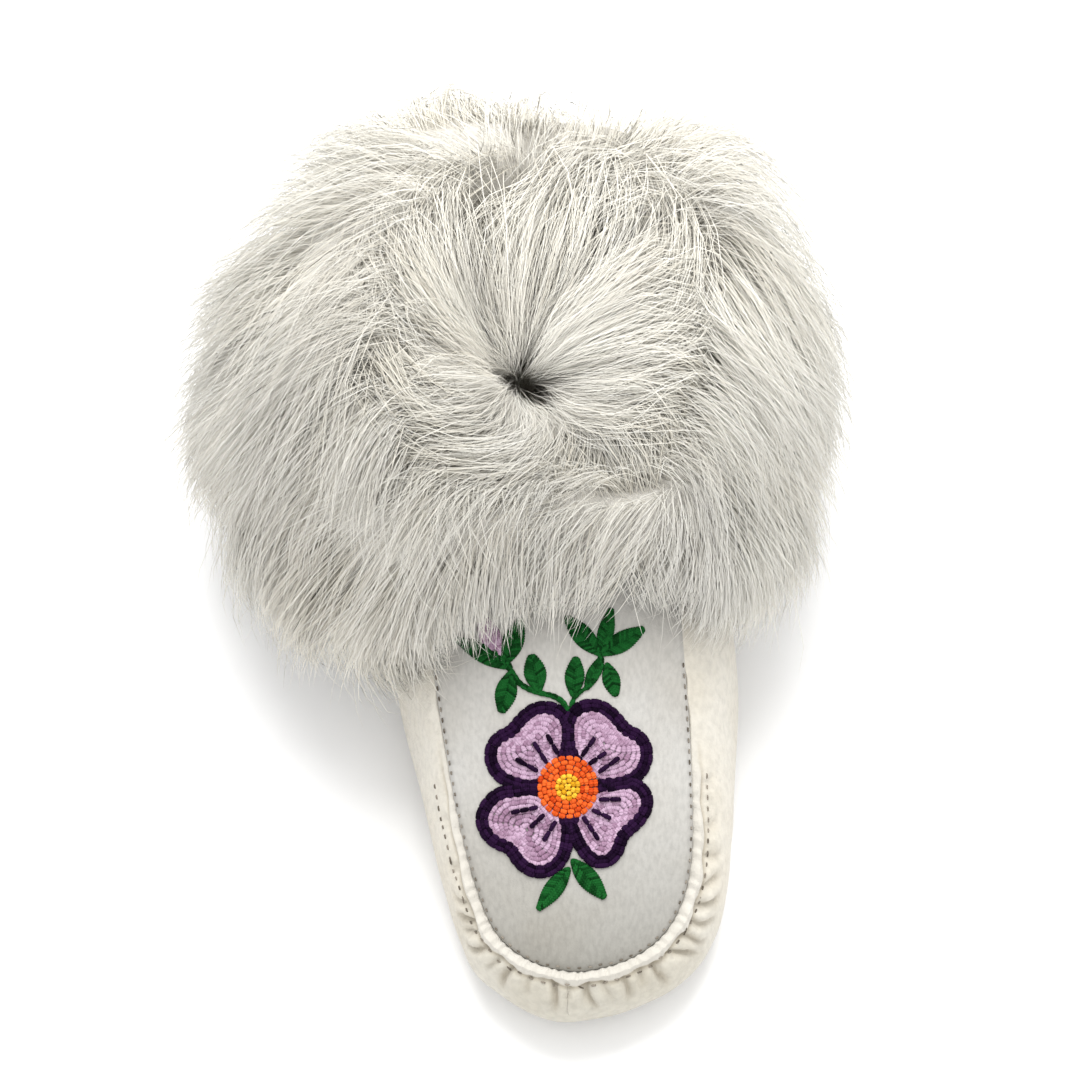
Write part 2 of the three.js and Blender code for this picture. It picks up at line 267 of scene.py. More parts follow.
def mixColour(tree, factor, first, second, blend="MIX"):
    node = tree.nodes.new("ShaderNodeMix")
    node.data_type = "RGBA"
    node.blend_type = blend
    # the colour sockets of a mix node come after its number and vector ones
    for index, value in ((0, factor), (6, first), (7, second)):
        feed(tree, value, node.inputs[index])
    return node.outputs[2]


def ramp(tree, value, stops):
    node = addNode(tree, "ShaderNodeValToRGB", Fac=value)
    elements = node.color_ramp.elements
    while len(elements) < len(stops):
        elements.new(0.5)
    for element, (place, colour) in zip(elements, stops):
        element.position = place
        element.color = (*colour, 1) if len(colour) == 3 else colour
    return node.outputs["Color"]


def noise(tree, coords, scale, detail=3.0, roughness=0.5):
    inputs = {"Vector": coords, "Scale": scale, "Detail": detail, "Roughness": roughness}
    return addNode(tree, "ShaderNodeTexNoise", **inputs).outputs["Fac"]


def grey(value):
    return (value, value, value)


def objectCoords(tree, stretch=(1, 1, 1)):
    coords = tree.nodes.new("ShaderNodeTexCoord").outputs["Object"]
    if stretch == (1, 1, 1):
        return coords
    return addNode(tree, "ShaderNodeMapping", Vector=coords, Scale=stretch).outputs["Vector"]


def bump(tree, shader, height, distance, strength, under=None):
    inputs = {"Height": height, "Distance": distance, "Strength": strength}
    if under is not None:
        inputs["Normal"] = under
    node = addNode(tree, "ShaderNodeBump", **inputs)
    tree.links.new(node.outputs["Normal"], shader.inputs["Normal"])
    return node.outputs["Normal"]


def layParts(tree):
    # lay gives each stitch or hair its own tone in X and runs along it in Y
    lay = addNode(tree, "ShaderNodeUVMap", {"uv_map": "lay"}).outputs["UV"]
    return addNode(tree, "ShaderNodeSeparateXYZ", Vector=lay).outputs


def paintedToeShadeAndWear(tree, colour, coords, tipY, clearY, shade):
    # greyed towards the toe: painted shade where the toe slopes away from the light, with some wear
    along = addNode(tree, "ShaderNodeSeparateXYZ", Vector=coords).outputs["Y"]
    part = addNode(tree, "ShaderNodeMapRange", Value=along, **{"From Min": tipY, "From Max": clearY})
    part = part.outputs["Result"]
    return mixColour(tree, 1.0, colour, ramp(tree, part, [(0.0, shade), (1.0, grey(1.0))]), "MULTIPLY")


def hideMaterial():
    material, tree, shader = newMaterial("cream_hide", 0.88, sheen=0.15)
    coords = objectCoords(tree)
    paintedFoldShade = addNode(tree, "ShaderNodeAttribute", {"attribute_name": "paintedFoldShade"}).outputs["Fac"]
    patches = noise(tree, coords, 38, 5, 0.6)
    mottle = ramp(tree, patches, [(0.3, (0.63, 0.585, 0.495)), (0.62, (0.69, 0.655, 0.58))])
    speck = ramp(tree, noise(tree, coords, 420, 3), [(0.3, grey(0.88)), (0.6, grey(1.0))])
    colour = mixColour(tree, 1.0, mottle, speck, "MULTIPLY")
    # painted shade and some wear: the hide greys towards the toe
    colour = paintedToeShadeAndWear(tree, colour, coords, -0.128, -0.085, (0.80, 0.80, 0.775))
    roll = addNode(tree, "ShaderNodeAttribute", {"attribute_name": "roll"}).outputs["Fac"]
    colour = mixColour(tree, roll, colour, (0.59, 0.565, 0.515, 1))  # the roll gets an even cream of its own, mostly free of the greying towards the toe
    colour = mixColour(tree, paintedFoldShade, colour, (0.36, 0.31, 0.23, 1))  # painted shade, in a warm brown, in the creases and in the groove under the roll
    tree.links.new(colour, shader.inputs["Base Color"])
    grain = bump(tree, shader, noise(tree, coords, 260, 6, 0.7), 0.0011, 0.6)
    bump(tree, shader, noise(tree, coords, 1300, 2), 0.00025, 0.6, grain)
    return material


def woolMaterial():
    material, tree, shader = newMaterial("white_wool", 0.95, sheen=0.3)
    coords = objectCoords(tree)
    patches = noise(tree, coords, 26, 4)
    mottle = ramp(tree, patches, [(0.32, (0.48, 0.46, 0.42)), (0.66, (0.54, 0.53, 0.505))])
    fibre = noise(tree, objectCoords(tree, (1, 0.35, 1)), 900, 4)
    fibre = ramp(tree, fibre, [(0.3, grey(0.86)), (0.62, grey(1.0))])
    colour = mixColour(tree, 1.0, mottle, fibre, "MULTIPLY")
    # painted shade and some wear: the wool greys strongly towards the toe
    colour = paintedToeShadeAndWear(tree, colour, coords, -0.118, -0.062, (0.53, 0.52, 0.485))
    tree.links.new(colour, shader.inputs["Base Color"])
    nap = bump(tree, shader, noise(tree, coords, 700, 5, 0.7), 0.0005, 0.45)
    bump(tree, shader, noise(tree, coords, 60, 3), 0.0015, 0.35, nap)
    return material


def feltMaterial():
    material, tree, shader = newMaterial("plain_felt", 0.95, sheen=0.3)
    coords = objectCoords(tree)
    patches = noise(tree, coords, 300, 5, 0.7)
    colour = ramp(tree, patches, [(0.3, (0.55, 0.50, 0.42)), (0.65, (0.70, 0.66, 0.58))])
    tree.links.new(colour, shader.inputs["Base Color"])
    bump(tree, shader, noise(tree, coords, 800, 5, 0.7), 0.0006, 0.5)
    return material


def threadMaterial(name, dark, light):
    material, tree, shader = newMaterial(name, 0.65, specular=0.04)
    parts = layParts(tree)
    fibre = noise(tree, objectCoords(tree), 1400, 3)
    blend = addNode(tree, "ShaderNodeMath", {"operation": "MULTIPLY_ADD"}, i0=fibre, i1=0.6, i2=parts["X"])
    colour = ramp(tree, blend.outputs[0], [(0.35, dark), (1.1, light)])
    tree.links.new(colour, shader.inputs["Base Color"])
    ply = addNode(tree, "ShaderNodeMath", {"operation": "SINE"}, i0=parts["Y"]).outputs[0]
    bump(tree, shader, ply, 0.0002, 0.6)
    return material


def strandMaterial():
    material, tree, shader = newMaterial("grey_fur_hair", 0.55, specular=0.0)
    parts = layParts(tree)
    along = ramp(tree, parts["Y"], [
        (0.0, (0.745, 0.72, 0.65)), (0.3, (0.815, 0.793, 0.728)),
        (0.65, (0.845, 0.828, 0.775)), (1.0, (0.87, 0.857, 0.81)),
    ])
    tip = ramp(tree, parts["Y"], [(0.6, grey(0.0)), (0.95, grey(1.0))])
    guard = ramp(tree, parts["X"], [(0.90, grey(0.0)), (0.905, grey(0.75))])
    darkTip = mixColour(tree, 1.0, tip, guard, "MULTIPLY")
    colour = mixColour(tree, darkTip, along, (0.36, 0.325, 0.28, 1))
    tone = ramp(tree, parts["X"], [
        (0.0, (0.82, 0.785, 0.72)), (0.35, (0.92, 0.9, 0.855)),
        (0.6, (0.98, 0.975, 0.955)), (0.9, grey(1.0)),
    ])
    tree.links.new(mixColour(tree, 1.0, colour, tone, "MULTIPLY"), shader.inputs["Base Color"])
    return material


def underfurMaterial():
    # streaks run the way the hair is combed
    material, tree, shader = newMaterial("grey_underfur", 0.9, specular=0.0)
    comb = addNode(tree, "ShaderNodeAttribute", {"attribute_name": "comb"}).outputs["Vector"]
    drawn = addNode(tree, "ShaderNodeMapping", Vector=comb, Scale=(1, 1, 0.07)).outputs["Vector"]
    streaks = noise(tree, drawn, 700, 4, 0.6)
    colour = ramp(tree, streaks, [(0.32, (0.60, 0.575, 0.52)), (0.66, (0.75, 0.725, 0.67))])
    tree.links.new(colour, shader.inputs["Base Color"])
    bump(tree, shader, streaks, 0.002, 0.9)
    return material


# the hide: sole and sides in one, gathered round the toe

hideShape = {
    "levels": 2, "crease": 0.6, "length": 250, "halfWidth": 53.5, "toeFocus": 38, "heelFocus": 36,
    # last sections: share of the length, middle line, half-width, height of the seam
    "share": [0.0, 0.05, 0.12, 0.25, 0.5, 0.75, 0.92, 1.0],
    "centre": [2.5, 4.5, 6.0, 4.2, -0.5, -1.0, 0.0, 0.0],
    "wide": [0.0, 0.557, 0.735, 0.856, 1.0, 0.84, 0.575, 0.0],
    "seam": [26, 28, 32, 43, 62, 64, 70, 73], "spring": 4, "springLength": 30,
    # creases between the gathers: degrees round the toe at the roll, degrees further on at the foot of the
    # crease, depth and length down from the roll in mm
    "creases": [(-52, -5, 0.5, 8), (-44, -6, 0.7, 9), (-38, -6, 0.9, 10), (-33, -6.5, 1.5, 13),
                (-30, -7, 1.2, 12), (-26.5, -6, 1.6, 13), (-23, -2.5, 0.9, 9), (-18.5, -1.5, 1.6, 13),
                (-13, -0.5, 0.7, 8), (-7.5, 2, 1.6, 12), (-3, 1, 0.6, 7), (2, 2.5, 1.6, 12),
                (6.5, 2, 0.6, 8), (11, 1.5, 1.5, 11), (15.5, 1, 0.7, 8), (20, 0.5, 1.7, 13),
                (23.5, 7, 1.5, 13), (28.5, 5.5, 1.6, 13), (32.5, 5.5, 1.6, 13), (36.5, 5.5, 1.5, 13),
                (40, 6.5, 1.3, 12), (45, 6, 0.9, 11), (51, 5, 0.7, 9), (58, 4, 0.5, 8)],
    "creaseWidth": 0.85, "puff": 0.65,
    # the roll beside the vamp: where it ends each side, its puckers, and the groove under it
    "rollEnd": 62, "pucker": 0.3, "puckerDegrees": 2.8, "groove": 0.45, "grooveAt": 1.2,
    # the outline's own corners: degrees, mm outwards, half-width in degrees
    "corners": [(-6, 0.9, 7), (-21, -0.8, 8), (17, -0.6, 9)],
    "pull": 0.3, "slack": 0.5,  # small pulls along the sewn sides, soft slack in the hide, in mm
    "toeFrom": -0.025, "fineFrom": -0.058, "fineOver": 0.01,  # where the toe is worked and has finer faces
}


def toePlaces(points):
    # each point's place round the toe in degrees, outer side negative, and its way outwards
    s = hideShape
    rowAngles = np.arccos(1 - 2 * np.array(s["share"]))
    half = s["length"] / 2
    angle = np.radians(np.linspace(0, 100, 301))
    first, last = s["toeFocus"] - half, half - s["heelFocus"]
    spineY = (first + last) / 2 - (last - first) / 2 * np.cos(angle)
    spineX = tableCurve(rowAngles, s["centre"], np.arccos(np.clip(-spineY / half, -1, 1)))
    places = np.full(len(points), 999.0)
    outward = np.zeros((len(points), 2))
    nearest = np.full(len(points), 1e9)
    xy = points[:, :2] / mm
    chunk = 4000  # points measured at a time
    for side in (-1, 1):
        halfWidth = s["halfWidth"] * tableCurve(rowAngles, s["wide"], angle)
        edgeX = tableCurve(rowAngles, s["centre"], angle) + side * halfWidth
        way = unit(np.stack([edgeX - spineX, -half * np.cos(angle) - spineY], 1))
        for start in range(0, len(points), chunk):
            rel = xy[start:start + chunk, None, :] - np.stack([spineX, spineY], 1)[None]
            off = np.abs(rel[..., 0] * way[:, 1] - rel[..., 1] * way[:, 0])
            off[(rel * way).sum(-1) < 0] = 1e8
            best = off.argmin(1)
            value = off[np.arange(len(best)), best]
            better = value < nearest[start:start + chunk]
            rows = np.arange(start, start + len(best))[better]
            nearest[rows] = value[better]
            places[rows] = side * np.degrees(angle[best[better]])
            outward[rows] = way[best[better]]
    return places, outward


def refineToe(piece):
    # finer faces on the outside of the toe, for the creases
    middles = np.array([p.center for p in piece.data.polygons])
    normals = np.array([p.normal for p in piece.data.polygons])
    fine = (middles[:, 1] < hideShape["fineFrom"]) & (middles[:, 2] > hideShape["fineOver"])
    near = np.where(fine)[0]
    _, outward = toePlaces(middles[near])
    outside = ((normals[near, :2] * outward).sum(1) > 0.05) | (normals[near, 2] > 0.5)
    chosen = np.zeros(len(middles), bool)
    chosen[near[outside]] = True
    pick(piece)
    setMode("EDIT")
    bpy.ops.mesh.select_mode(type="FACE")
    bpy.ops.mesh.select_all(action="DESELECT")
    setMode("OBJECT")
    piece.data.polygons.foreach_set("select", chosen)
    setMode("EDIT")
    bpy.ops.mesh.subdivide(number_cuts=1, smoothness=0.0)
    setMode("OBJECT")
    bpy.ops.object.shade_smooth()


def makeHide():
    s = hideShape
    piece = copyNode("sole_and_sides", "hide_sole_and_sides")
    softenCopy(piece, s["levels"], s["crease"])
    refineToe(piece)
    points = getPoints(piece)
    paintedFoldShade, roll = np.zeros(len(points)), np.zeros(len(points))
    toe = np.where(points[:, 1] < s["toeFrom"])[0]
    places, outward = toePlaces(points[toe])
    z = points[toe, 2] / mm
    rowAngles = np.arccos(1 - 2 * np.array(s["share"]))
    fromTip = points[toe, 1] / mm + s["length"] / 2
    lift = s["spring"] * (1 - np.clip(fromTip / s["springLength"], 0, 1)) ** 2
    below = tableCurve(rowAngles, s["seam"], np.radians(np.clip(np.abs(places), 0, 100))) + lift - z
    rolled = 1 - smoothStep(np.abs(places), s["rollEnd"] - 6, s["rollEnd"] + 6)
    depth, nearest = np.zeros(len(toe)), np.full(len(toe), 9.0)
    for n, (place, lean, deep, long) in enumerate(s["creases"]):
        down = np.clip(below / 9, 0, 1.3)
        off = np.abs(places - place - lean * down + 0.5 * np.sin(0.45 * below + 1.7 * n))
        fade = (1 - smoothStep(below, 0.45 * long, long)) * smoothStep(below, 0.2, 1.4)
        depth += deep * np.exp(-(off / s["creaseWidth"]) ** 1.5) * fade
        nearest = np.minimum(nearest, off)
    puff = s["puff"] * smoothStep(nearest, 0, 2.2) * smoothStep(below, 0.6, 3)
    puff *= (1 - smoothStep(below, 5, 13)) * rolled
    corner = sum(by * np.exp(-((places - at) / wide) ** 2) for at, by, wide in s["corners"])
    corner *= smoothStep(below, 2, 8)
    groove = np.exp(-((below - s["grooveAt"]) / 0.45) ** 2) * rolled
    pull = s["pull"] * np.sin(places * 1.1) * smoothStep(np.abs(places), s["rollEnd"], s["rollEnd"] + 10)
    pull *= 1 - smoothStep(below, 3, 16)
    inwards = 0.95 * depth + pull + s["groove"] * groove - puff - corner
    points[toe, :2] -= outward * (inwards * mm)[:, None]
    onRoll = (1 - smoothStep(below, 0.3, 1.1)) * rolled
    pucker = np.sin(2 * np.pi * places / s["puckerDegrees"] + 0.9 * np.sin(places * 0.8))
    points[toe, 2] += (s["pucker"] * pucker * onRoll - 0.45 * depth) * mm
    # how much painted shade the creases and the groove under the roll get
    paintedFoldShade[toe] = np.clip(depth / 1.6, 0, 1) * 0.6 + 0.6 * groove
    roll[toe] = 0.7 * onRoll
    y, z = points[:, 1], points[:, 2]
    wave = np.sin(y * 95 + z * 60) * np.sin(y * 41 - z * 130 + 1)
    slack = s["slack"] * mm * wave * smoothStep(z, 0.006, 0.02)
    points[:, 0] += slack * np.sign(points[:, 0])
    setPoints(piece, points)
    keepValue(piece, "paintedFoldShade", np.clip(paintedFoldShade, 0, 0.75))
    keepValue(piece, "roll", roll)
    return dress(piece, hideMaterial(), "sole_and_sides")


hide = makeHide()
print("hide made:", len(hide.data.polygons), "faces")


# the wool vamp

vampShape = {
    "levels": 2, "crease": 0.8, "flat": (0.081, 0.122), "middle": (-0.003, -0.058), "drawnOut": 1.007,
}


def makeVamp():
    piece = copyNode("vamp", "wool_vamp")
    softenCopy(piece, vampShape["levels"], vampShape["crease"])
    # rounding takes a little off the rim, so it is drawn out to meet the hide again
    points = getPoints(piece)
    points[:, :2] = vampShape["middle"] + (points[:, :2] - vampShape["middle"]) * vampShape["drawnOut"]
    setPoints(piece, points)
    dress(piece, woolMaterial(), "vamp")
    return piece


vamp = makeVamp()
print("vamp made:", len(vamp.data.polygons), "faces")


# the felt insole

insoleShape = {"levels": 2, "crease": 0.4, "fill": 0.9}


def makeInsole():
    piece = copyNode("insole", "felt_insole")
    softenCopy(piece, insoleShape["levels"], insoleShape["crease"])
    dress(piece, feltMaterial(), "insole")
    return piece


insole = makeInsole()
print("insole made:", len(insole.data.polygons), "faces")


# stitches: small closed grains of thread, laid on a surface

stitchRings = {"sides": 6, "along": (0.14, 0.5, 0.86), "size": (0.8, 1.0, 0.8), "ply": 7}


def stitchPiece(name, starts, ends, normals, wide, high, seed, material):
    count, sides = len(starts), stitchRings["sides"]
    rng = np.random.default_rng(seed)
    run = ends - starts
    long = np.linalg.norm(run, axis=1)
    along = run / long[:, None]
    across = unit(np.cross(normals, along))
    up = np.cross(along, across)
    spin = 2 * np.pi * np.arange(sides) / sides
    rings = [(starts - up * high * 0.1)[:, None, :]]
    uv = [np.zeros((count, 1))]
    for place, size in zip(stitchRings["along"], stitchRings["size"]):
        middle = starts + run * place + up * high * 0.45 * size
        ring = (
            middle[:, None, :]
            + across[:, None, :] * (wide / 2 * size * np.cos(spin))[None, :, None]
            + up[:, None, :] * (high / 2 * size * np.sin(spin))[None, :, None]
        )
        rings.append(ring)
        uv.append(np.full((count, sides), place))
    rings.append((ends - up * high * 0.1)[:, None, :])
    uv.append(np.ones((count, 1)))
    points = np.concatenate(rings, 1)
    pattern = [(0, 1 + (k + 1) % sides, 1 + k) for k in range(sides)]
    pattern += tubeFaces(sides, len(stitchRings["along"]), 1)
    lay = np.concatenate(uv, 1) * (long / mm * stitchRings["ply"])[:, None]  # ply turns along the thread
    return dress(manyPiece(name, points, pattern, rng.random(count), lay), material)


# embroidery on the vamp, charted in mm about the flower's middle as the photo shows it:
# first number to the right, second up the foot

flower = {
    "middlePixel": (415.2, 748.3),
    "petals": [
        [(-8.9, 2.3), (-14.5, 2.6), (-18.7, 4.5), (-20.7, 8.4), (-19.6, 12.3), (-15.4, 14.6), (-11.9, 18.6),
         (-8.6, 21.1), (-4.9, 21.1), (-2.2, 19.2), (-1.6, 15.6), (-1.9, 12.3), (-3.1, 9.1)],
        [(9.2, 2.4), (14.9, 2.7), (19.3, 4.6), (21.3, 8.7), (20.2, 12.7), (15.9, 15.0), (12.3, 19.2),
         (8.9, 21.7), (5.0, 21.7), (2.4, 19.8), (1.8, 16.1), (2.1, 12.7), (3.2, 9.4)],
        [(-8.9, -2.6), (-14.5, -2.9), (-19.6, -3.8), (-23.3, -9.0), (-20.9, -14.0), (-15.6, -16.4),
         (-12.0, -21.2), (-7.4, -22.7), (-3.4, -19.9), (-2.0, -15.2), (-2.4, -9.4)],
        [(9.2, -1.6), (14.0, -0.9), (18.6, -0.6), (21.5, -4.1), (19.3, -8.6), (14.6, -12.8), (12.3, -18.4),
         (8.9, -19.9), (5.6, -16.6), (3.6, -12.6), (2.9, -9.4)],
    ],
    "veins": [((-6, 15.2), (-2.8, 9.4)), ((-9.9, 13), (-6, 6.8)), ((-15.1, 8.1), (-8.6, 4.5)),
              ((7.9, 14.3), (4, 8.8)), ((11.2, 10), (6, 6.5)), ((15, 8.4), (8.9, 4.2)),
              ((15.4, -3.6), (8.9, -3.6)), ((12.5, -9.1), (6.9, -6.5)), ((8.9, -15.2), (4.3, -8.4)),
              ((-16.4, -7.5), (-8.6, -5.8)), ((-10.9, -11.7), (-6.7, -7.8)), ((-7, -15.6), (-3.4, -9.7))],
    "outlineRows": (0.5, 1.7, 2.9), "fillRows": (0.95, 0.82, 0.69, 0.56, 0.43, 0.30, 0.17),
    "discRows": (4.3, 5.6, 6.9, 8.2), "eyeRows": (0.7, 1.9, 3.1), "discEdge": 8.6,
    # stitch length, how far stitches overlap, how oval the rounds are
    "veinStep": 3.0, "veinOverlap": 1.2, "discStep": 2.2, "eyeStep": 1.8, "roundOverlap": 1.12,
    "discOval": 1.04, "eyeOval": 1.08,
}
greenery = {
    "stems": [
        [(0.2, 21.5), (-2.1, 25), (-4.7, 26.3), (-8, 26.9), (-11.2, 27.9), (-14.5, 29.8), (-16.1, 32.4),
         (-18, 35.2)],
        [(0.4, 21.5), (1.2, 25.0), (3.7, 27.6), (6.3, 29.2), (8.9, 32.4), (9.9, 36.3), (8.9, 39.2)],
    ],
    # base, tip, width
    "leaves": [((0.4, -23.2), (-8.7, -35.2), 5.6), ((1.2, -20.8), (10.8, -31.8), 6.2),
               ((-16.6, 33.4), (-19.4, 21.4), 6.6), ((-8.3, 27.4), (-10.6, 38.4), 6.8),
               ((1.6, 26.2), (2.5, 37.8), 6.0), ((5.4, 28.3), (9.9, 37.8), 4.0),
               ((11.4, 35.8), (14.2, 26.2), 5.4), ((-16.4, 34.6), (-33.0, 43.0), 6.0),
               ((-18.4, 35.4), (-13.6, 49.0), 6.6), ((9.4, 38.4), (-0.6, 49.6), 6.2),
               ((9.6, 38.4), (22.6, 46.0), 6.2), ((9.6, 38.4), (13.0, 52.0), 5.0)],
    "bud": ((-20.0, 37.5), (-25.5, 50.0), 6.4),
    "leafPitch": 0.75, "stemStep": 1.9, "stemOverlap": 1.3, "stemBeside": (0.5, 0.4),
}
chainStitch = {"long": 2.5, "overlap": 1.25}
threads = {  # dark and light side of each colour
    "purple_thread": ((0.006, 0.0015, 0.009), (0.022, 0.006, 0.032)),
    "lilac_thread": ((0.31, 0.18, 0.27), (0.54, 0.37, 0.50)),
    "orange_thread": ((0.54, 0.05, 0.008), (0.80, 0.14, 0.025)),
    "yellow_thread": ((0.66, 0.32, 0.012), (0.88, 0.54, 0.05)),
    "green_thread": ((0.002, 0.030, 0.005), (0.009, 0.095, 0.018)),
}
stitchSizes = {  # thread, width and height in mm
    "stitch_petal_fill": ("lilac_thread", 1.75, 0.9),
    "stitch_petal_edge": ("purple_thread", 1.8375, 1.17),
    "stitch_petal_veins": ("purple_thread", 1.5, 2.2),
    "stitch_disc": ("orange_thread", 1.75, 1.5),
    "stitch_eye": ("yellow_thread", 1.7, 1.9),
    "stitch_leaves": ("green_thread", 1.25, 0.95),
}

vampTree = surfaceTree(vamp)
lowestView = (getPoints(hide) @ viewUp).min() / mm


def onVamp(chart):
    # chart points along the photo's line of sight onto the cloth
    column, row = flower["middlePixel"]
    chart = np.atleast_2d(np.asarray(chart, float))
    u = chart[:, 0] + (column - photoView["middleColumn"]) / photoView["pixelsPerMm"]
    v = chart[:, 1] + (photoView["toeRow"] - row) / photoView["pixelsPerMm"] + lowestView
    spots, normals = np.full((len(chart), 3), np.nan), np.full((len(chart), 3), np.nan)
    for i in range(len(chart)):
        eye = Vector(np.array([u[i], 0, 0]) * mm + viewUp * v[i] * mm + toCamera * 0.5)
        spot, normal, _, _ = vampTree.ray_cast(eye, Vector(-toCamera))
        if spot is not None:
            spots[i], normals[i] = spot, normal
    return spots, normals


def closedCurve(corners, step):
    # rounded closed line through corners, in even steps
    ring = np.asarray(corners, float)
    n = len(ring)
    fine = []
    for i in range(n):
        p0, p1, p2, p3 = ring[i - 1], ring[i], ring[(i + 1) % n], ring[(i + 2) % n]
        for t in np.linspace(0, 1, 12, endpoint=False):
            fine.append(splinePoint(p0, p1, p2, p3, t))
    return evenSteps(np.array(fine + [fine[0]]), step, 3)


def openCurve(points, step):
    return evenSteps(np.asarray(points, float), step, 1)


def runStitches(line, overlap):
    # one stitch to each step of a line, a little longer than the step
    middle, half = (line[:-1] + line[1:]) / 2, (line[1:] - line[:-1]) / 2 * overlap
    return list(zip(middle - half, middle + half))


def widened(line, by):
    # the line moved outwards from the shape it goes round
    ahead = np.roll(line[:-1], -1, 0) - np.roll(line[:-1], 1, 0)
    side = unit(np.stack([ahead[:, 1], -ahead[:, 0]], 1))
    middle = line[:-1].mean(0)
    if ((line[:-1] - middle) * side).sum() < 0:
        side = -side
    moved = line[:-1] + side * by
    return np.vstack([moved, moved[:1]])


def leafStitches(base, tip, wide):
    # slanting satin stitches out from the middle rib
    base, tip = np.array(base), np.array(tip)
    rib = tip - base
    long = np.linalg.norm(rib)
    side = np.array([-rib[1], rib[0]]) / long
    found = []
    for t in np.arange(0.03, 0.99, greenery["leafPitch"] / long):
        spread = 0.56 * wide * math.sin(math.pi * min(t * 0.95 + 0.04, 1)) ** 0.7
        spread *= 1 - 0.45 * t**2  # pointed tip
        for hand in (-1, 1):
            inner = base + rib * (t - 0.05) - side * hand * 0.35
            outer = base + rib * min(t + 0.2 * wide / long, 1.0) + side * hand * spread
            found.append((inner, outer))
    return found


def chartPiece(name, stitches, wide, high, seed, material):
    ends = np.array([[a, b] for a, b in stitches]).reshape(-1, 2)
    spots, normals = onVamp(ends)
    spots, normals = spots.reshape(-1, 2, 3), normals.reshape(-1, 2, 3)
    kept = ~np.isnan(spots).any((1, 2))
    middle = unit(normals[kept].mean(1))
    first, last = spots[kept, 0], spots[kept, 1]
    return stitchPiece(name, first, last, middle, wide * mm, high * mm, seed, material)


def roundStitches(rows, step, least, oval, twist):
    # rings of stitches about the flower's middle
    found = []
    for r in rows:
        turn = np.linspace(0, 2 * np.pi, max(least, round(2 * np.pi * r / step)) + 1) + twist * r
        ring = np.stack([r * np.cos(turn), oval * r * np.sin(turn)], 1)
        found += runStitches(ring, flower["roundOverlap"])
    return found


def embroider():
    purple, lilac, veins, green = [], [], [], []
    step = chainStitch["long"]
    for shape in map(np.array, flower["petals"]):
        line = closedCurve(shape, step * 0.9)
        for by in flower["outlineRows"]:
            for a, b in runStitches(widened(line, by), chainStitch["overlap"]):
                if np.hypot(*((a + b) / 2)) > flower["discEdge"]:
                    purple.append((a, b))
        middle = shape.mean(0)
        for k in flower["fillRows"]:
            row = closedCurve(middle + (shape - middle) * k, step)
            lilac += runStitches(row, chainStitch["overlap"])
    for a, b in flower["veins"]:
        veins += runStitches(openCurve([a, b], flower["veinStep"]), flower["veinOverlap"])
    orange = roundStitches(flower["discRows"], flower["discStep"], 6, flower["discOval"], 1)
    yellow = roundStitches(flower["eyeRows"], flower["eyeStep"], 4, flower["eyeOval"], 0)
    for stem in greenery["stems"]:
        line = openCurve(stem, greenery["stemStep"])
        for beside in ((0, 0), greenery["stemBeside"]):
            green += runStitches(line + beside, greenery["stemOverlap"])
    for base, tip, wide in greenery["leaves"]:
        green += leafStitches(base, tip, wide)
    lilac += leafStitches(*greenery["bud"])
    looks = {name: threadMaterial(name, *colours) for name, colours in threads.items()}
    laid = (lilac, purple, veins, orange, yellow, green)
    for seed, (name, stitches) in enumerate(zip(stitchSizes, laid), 1):
        thread, wide, high = stitchSizes[name]
        chartPiece(name, stitches, wide, high, seed, looks[thread])
    return sum(map(len, laid))


print("embroidery made:", embroider(), "stitches")


# grey seam stitches on the vamp's edge and along the roll of hide

seamThread = {
    "long": 1.6, "short": 1.2, "pitch": 3.2, "wide": 0.6, "high": 0.5,
    "onVamp": 0.5, "onRoll": 4.5, "rollEnd": -0.058,
    "colours": ((0.13, 0.11, 0.085), (0.30, 0.265, 0.22)),
}


def vampRim():
    # the vamp's edge from the outer side round the toe, felt for from above its middle
    middle, line = np.array([0.0, -0.03]), []
    for way in np.radians(np.linspace(172, 368, 500)):
        step = np.array([math.cos(way), math.sin(way)])
        near, far = 0.0, 0.12
        for _ in range(16):
            half = (near + far) / 2
            x, y = middle + step * half
            spot, normal, _, _ = fall(vampTree, x, y)
            if spot is not None and normal.z > 0.3:
                near, rim = half, spot
            else:
                far = half
        line.append(rim)
    return np.array(line)


def seamStitches():
    rim = vampRim()
    lengths = runLengths(rim) / mm
    at = np.arange(2, lengths[-1] - 2, seamThread["pitch"])
    line = lambda s: np.stack([np.interp(s, lengths, rim[:, k]) for k in range(3)], 1)
    greyThread = threadMaterial("grey_thread", *seamThread["colours"])
    vampMiddle = np.array([0.002, -0.03, 0.0])
    wide, high = seamThread["wide"] * mm, seamThread["high"] * mm
    rows = (("seam_stitch_vamp", vampTree, seamThread["onVamp"], 11),
            ("seam_stitch_hide", surfaceTree(hide), -seamThread["onRoll"], 12))
    for name, tree, by, seed in rows:
        starts, ends, normals = [], [], []
        for s in at:
            a, b = line(np.array([s, s + seamThread["long"]]))
            if a[1] > seamThread["rollEnd"] and by < 0:
                continue
            if a[1] < seamThread["rollEnd"] and by > 0:
                a, b = line(np.array([s, s + seamThread["short"]]))
            way = b - a
            side = unit(np.cross(way, (0, 0, 1)))
            if np.dot(vampMiddle - a, side) < 0:
                side = -side
            found = [fall(tree, *(p + side * by * mm)[:2]) for p in (a, b)]
            starts.append(found[0][0])
            ends.append(found[1][0])
            normals.append(found[0][1])
        starts, ends, normals = np.array(starts), np.array(ends), np.array(normals)
        stitchPiece(name, starts, ends, normals, wide, high, seed, greyThread)
    return len(at)


print("seam stitches made:", seamStitches())


# the fur: a soft underfur body, and hair combed out from the collar over it

